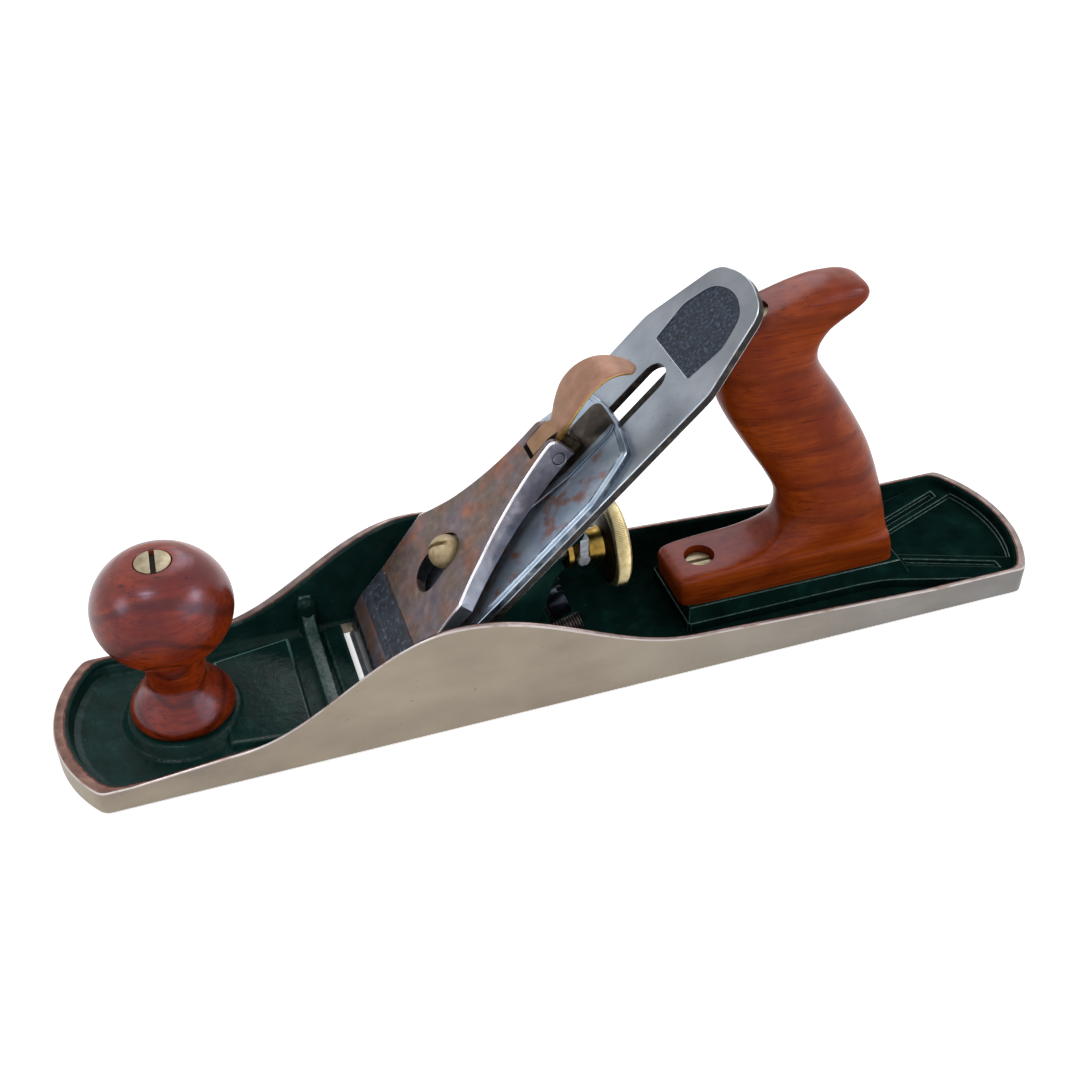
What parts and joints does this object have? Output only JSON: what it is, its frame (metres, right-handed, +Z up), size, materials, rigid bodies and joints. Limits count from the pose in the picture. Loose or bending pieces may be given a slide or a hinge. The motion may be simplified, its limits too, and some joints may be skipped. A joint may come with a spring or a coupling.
{
  "type": "jack plane",
  "caption": "Long metal bench plane with a bowed-end sole, humped cheeks, a sliding frog, an adjustable iron under a cam-locked lever cap, and a wooden knob and tote.",
  "frame": {"origin": "middle of the sole's underside", "axes": "+X towards the heel, +Y across the sole, +Z up"},
  "size_m": [0.3556, 0.064, 0.1335],
  "materials": {
    "ground_iron_and_green_paint": "ground grey iron outside, green paint inside",
    "green_paint": "gloss green paint over cast iron",
    "knob_wood": "varnished red-brown hardwood",
    "tote_wood": "varnished red-orange hardwood",
    "screw_brass": "tarnished brass",
    "nut_brass": "satin knurled brass",
    "stud_steel": "plain steel",
    "screw_steel": "bright steel",
    "blued_steel": "blue-black steel",
    "iron_steel": "satin ground tool steel",
    "cap_iron_steel": "polished steel with light rust",
    "lever_cap_iron": "ground cast iron gone brown",
    "spring_steel": "spring steel",
    "cam_bronze": "dull bronze",
    "yoke_steel": "grey cast steel"
  },
  "bodies": {
    "casting": {"body_casting": "ground_iron_and_green_paint", "knob": "knob_wood", "knob_stud": "stud_steel", "knob_nut": "screw_brass", "tote": "tote_wood", "tote_stud": "stud_steel", "tote_nut": "screw_brass", "tote_toe_screw": "screw_brass", "frog_lock_screws": "screw_steel"},
    "frog": {"frog": "green_paint", "frog_pins": "screw_steel", "frog_clip": "blued_steel", "frog_clip_screw": "blued_steel", "lever_cap_screw": "screw_brass", "yoke_pin": "screw_steel", "lateral_rivet": "screw_steel"},
    "adjusting_screw": {"frog_adjusting_screw": "blued_steel"},
    "depth_stud": {"depth_stud": "stud_steel"},
    "depth_nut": {"depth_nut": "nut_brass"},
    "yoke": {"yoke": "yoke_steel"},
    "lateral_lever": {"lateral_lever": "screw_steel"},
    "roller": {"lateral_roller": "screw_steel"},
    "irons": {"cutter_iron": "iron_steel", "cap_iron": "cap_iron_steel", "cap_iron_deflector": "cap_iron_steel", "cap_iron_screw": "screw_steel"},
    "lever_cap": {"lever_cap": "lever_cap_iron", "lever_cap_spring": "spring_steel", "spring_rivet": "spring_steel", "cam_lever_pin": "screw_steel"},
    "cam_lever": {"cam_lever": "cam_bronze"}
  },
  "joints": [
    {"name": "frog_slide", "type": "slide", "parent": "casting", "child": "frog", "axis": [-0.9511, 0, -0.309], "range_m": [0, 0.0015]},
    {"name": "adjusting_screw_turn", "type": "hinge", "parent": "frog", "child": "adjusting_screw", "pos_m": [-0.00668, 0, 0.0161], "axis": [0.9511, 0, 0.309], "range_deg": [-5, 685]},
    {"name": "depth_turn", "type": "hinge", "parent": "frog", "child": "depth_stud", "pos_m": [0, 0, 0.0395], "axis": [-1, 0, 0], "range_deg": [-455, 275]},
    {"name": "depth_nut_travel", "type": "slide", "parent": "depth_stud", "child": "depth_nut", "axis": [1, 0, 0], "range_m": [-0.0016, 0.00098]},
    {"name": "yoke_swing", "type": "hinge", "parent": "frog", "child": "yoke", "pos_m": [-0.0018, 0, 0.05233], "axis": [0, 1, 0], "range_deg": [-4.3, 7.1]},
    {"name": "lateral_swing", "type": "hinge", "parent": "frog", "child": "lateral_lever", "pos_m": [0.00244, 0, 0.07354], "axis": [-0.7071, 0, 0.7071], "range_deg": [-8, 8]},
    {"name": "iron_skew", "type": "hinge", "parent": "frog", "child": "roller", "pos_m": [-0.0711, 0, 0], "axis": [-0.7071, 0, 0.7071], "range_deg": [-0.6, 0.6]},
    {"name": "iron_travel", "type": "slide", "parent": "roller", "child": "irons", "axis": [0.7071, 0, 0.7071], "range_m": [-0.0012, 0.002]},
    {"name": "lever_cap_slide", "type": "slide", "parent": "frog", "child": "lever_cap", "axis": [0.7071, 0, 0.7071], "range_m": [0, 0.0095]},
    {"name": "cam_lever_turn", "type": "hinge", "parent": "lever_cap", "child": "cam_lever", "pos_m": [-0.00626, 0, 0.08365], "axis": [0, -1, 0], "range_deg": [0, 75]}
  ],
  "couplings": [
    {"joint": "adjusting_screw_turn", "follows": "frog_slide", "rad_per_m": 7854},
    {"joint": "depth_turn", "follows": "iron_travel", "rad_per_m": -3907.3},
    {"joint": "depth_nut_travel", "follows": "iron_travel", "ratio": -0.77733},
    {"joint": "yoke_swing", "follows": "iron_travel", "rad_per_m": 60.606},
    {"joint": "iron_skew", "follows": "lateral_swing", "ratio": -0.072165}
  ]
}
